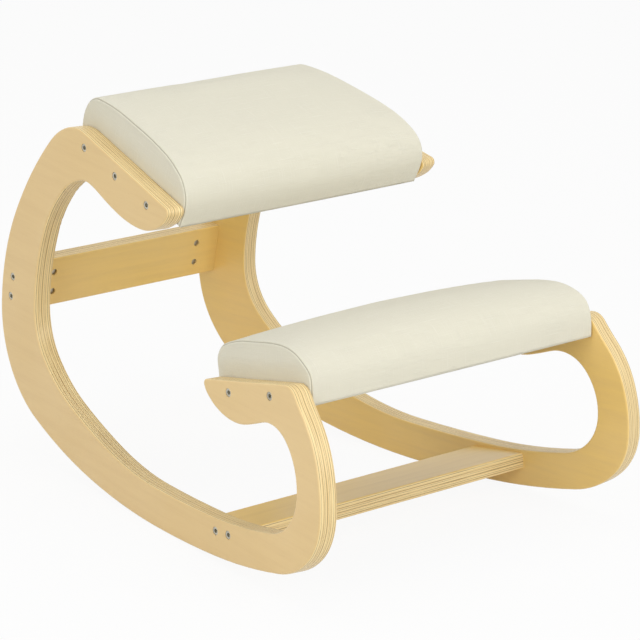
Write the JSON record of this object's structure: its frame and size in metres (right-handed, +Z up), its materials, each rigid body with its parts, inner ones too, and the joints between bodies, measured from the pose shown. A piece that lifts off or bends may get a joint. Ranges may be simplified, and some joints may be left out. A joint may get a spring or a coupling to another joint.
{
  "type": "kneeling chair",
  "caption": "Rocking kneeling chair: seat and knee cushions between bent plywood side frames that curve into rocker runners.",
  "frame": {"origin": "on the floor under the middle of the chair: midway between the side frames and midway between the foremost and rearmost points of the frames", "axes": "+Z up, +Y towards the back of the chair (the sitter faces -Y and kneels at the -Y end), +X towards the sitter's left"},
  "size_m": [0.5218, 0.722, 0.4898],
  "materials": {
    "birch_ply": "satin",
    "board_ply": "matte",
    "linen": "matte",
    "foam": "matte",
    "dust_cloth": "matte",
    "steel": "satin"
  },
  "bodies": {
    "root": {"knee_board": "board_ply", "knee_cover": "linen", "knee_dust_cloth": "dust_cloth", "knee_foam": "foam", "knee_inserts": "steel", "knee_screws_left": "steel", "knee_screws_right": "steel", "lower_bar_dowels": "steel", "lower_crossbar": "birch_ply", "lower_screws_left": "steel", "lower_screws_right": "steel", "rear_bar_dowels": "steel", "rear_crossbar": "birch_ply", "rear_screws_left": "steel", "rear_screws_right": "steel", "seat_board": "board_ply", "seat_cover": "linen", "seat_dust_cloth": "dust_cloth", "seat_foam": "foam", "seat_inserts": "steel", "seat_screws_left": "steel", "seat_screws_right": "steel", "side_frame_left": "birch_ply", "side_frame_right": "birch_ply"}
  },
  "joints": []
}
